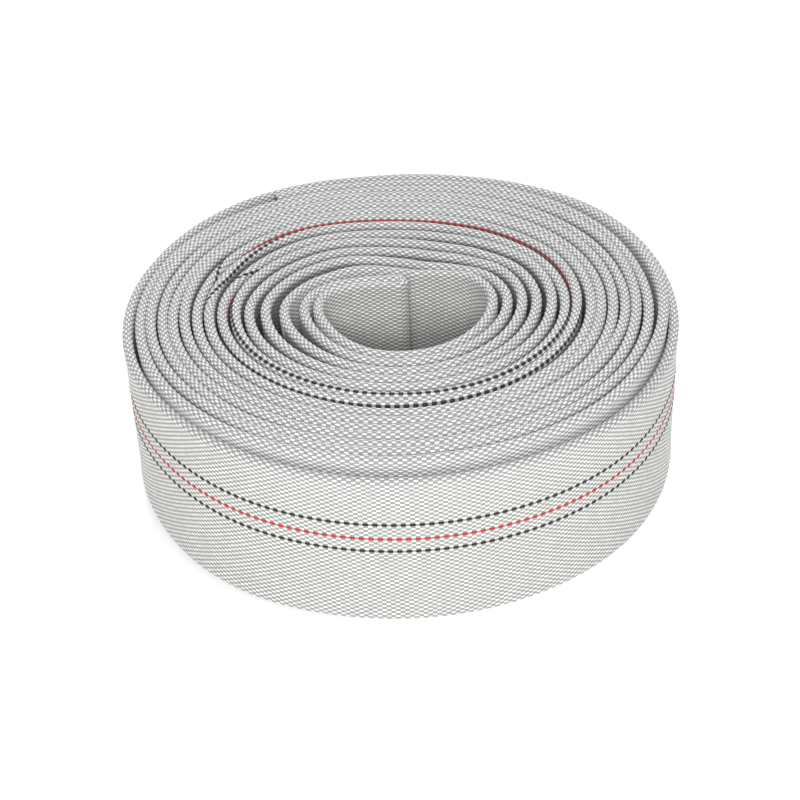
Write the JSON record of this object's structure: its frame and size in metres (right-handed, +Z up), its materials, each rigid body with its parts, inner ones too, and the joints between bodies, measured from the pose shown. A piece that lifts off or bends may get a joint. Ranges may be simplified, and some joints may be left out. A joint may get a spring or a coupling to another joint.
{
  "type": "rolled fire hose",
  "caption": "Lay-flat woven fire hose wound as a double roll and standing on its edge, with a thin lining inside and marker yarns woven along one face of the jacket.",
  "frame": {"origin": "centre of the roll's footprint, on the ground it rests on", "axes": "+Z up along the axis of the roll; -Y is the side it is usually looked at from; the outer end of the hose lies at the back, on the -X side"},
  "size_m": [0.334, 0.3414, 0.109],
  "materials": {
    "woven_jacket": "undyed filament yarn in a coarse plain weave, matt with a faint sheen",
    "hose_lining": "smooth, satin",
    "black_yarn": "dyed yarn, matt",
    "red_yarn": "dyed yarn, matt"
  },
  "bodies": {
    "root": {"jacket": "woven_jacket", "lining": "hose_lining", "marker_yarn_upper": "black_yarn", "marker_yarn_middle": "red_yarn", "marker_yarn_lower": "black_yarn"}
  },
  "joints": []
}
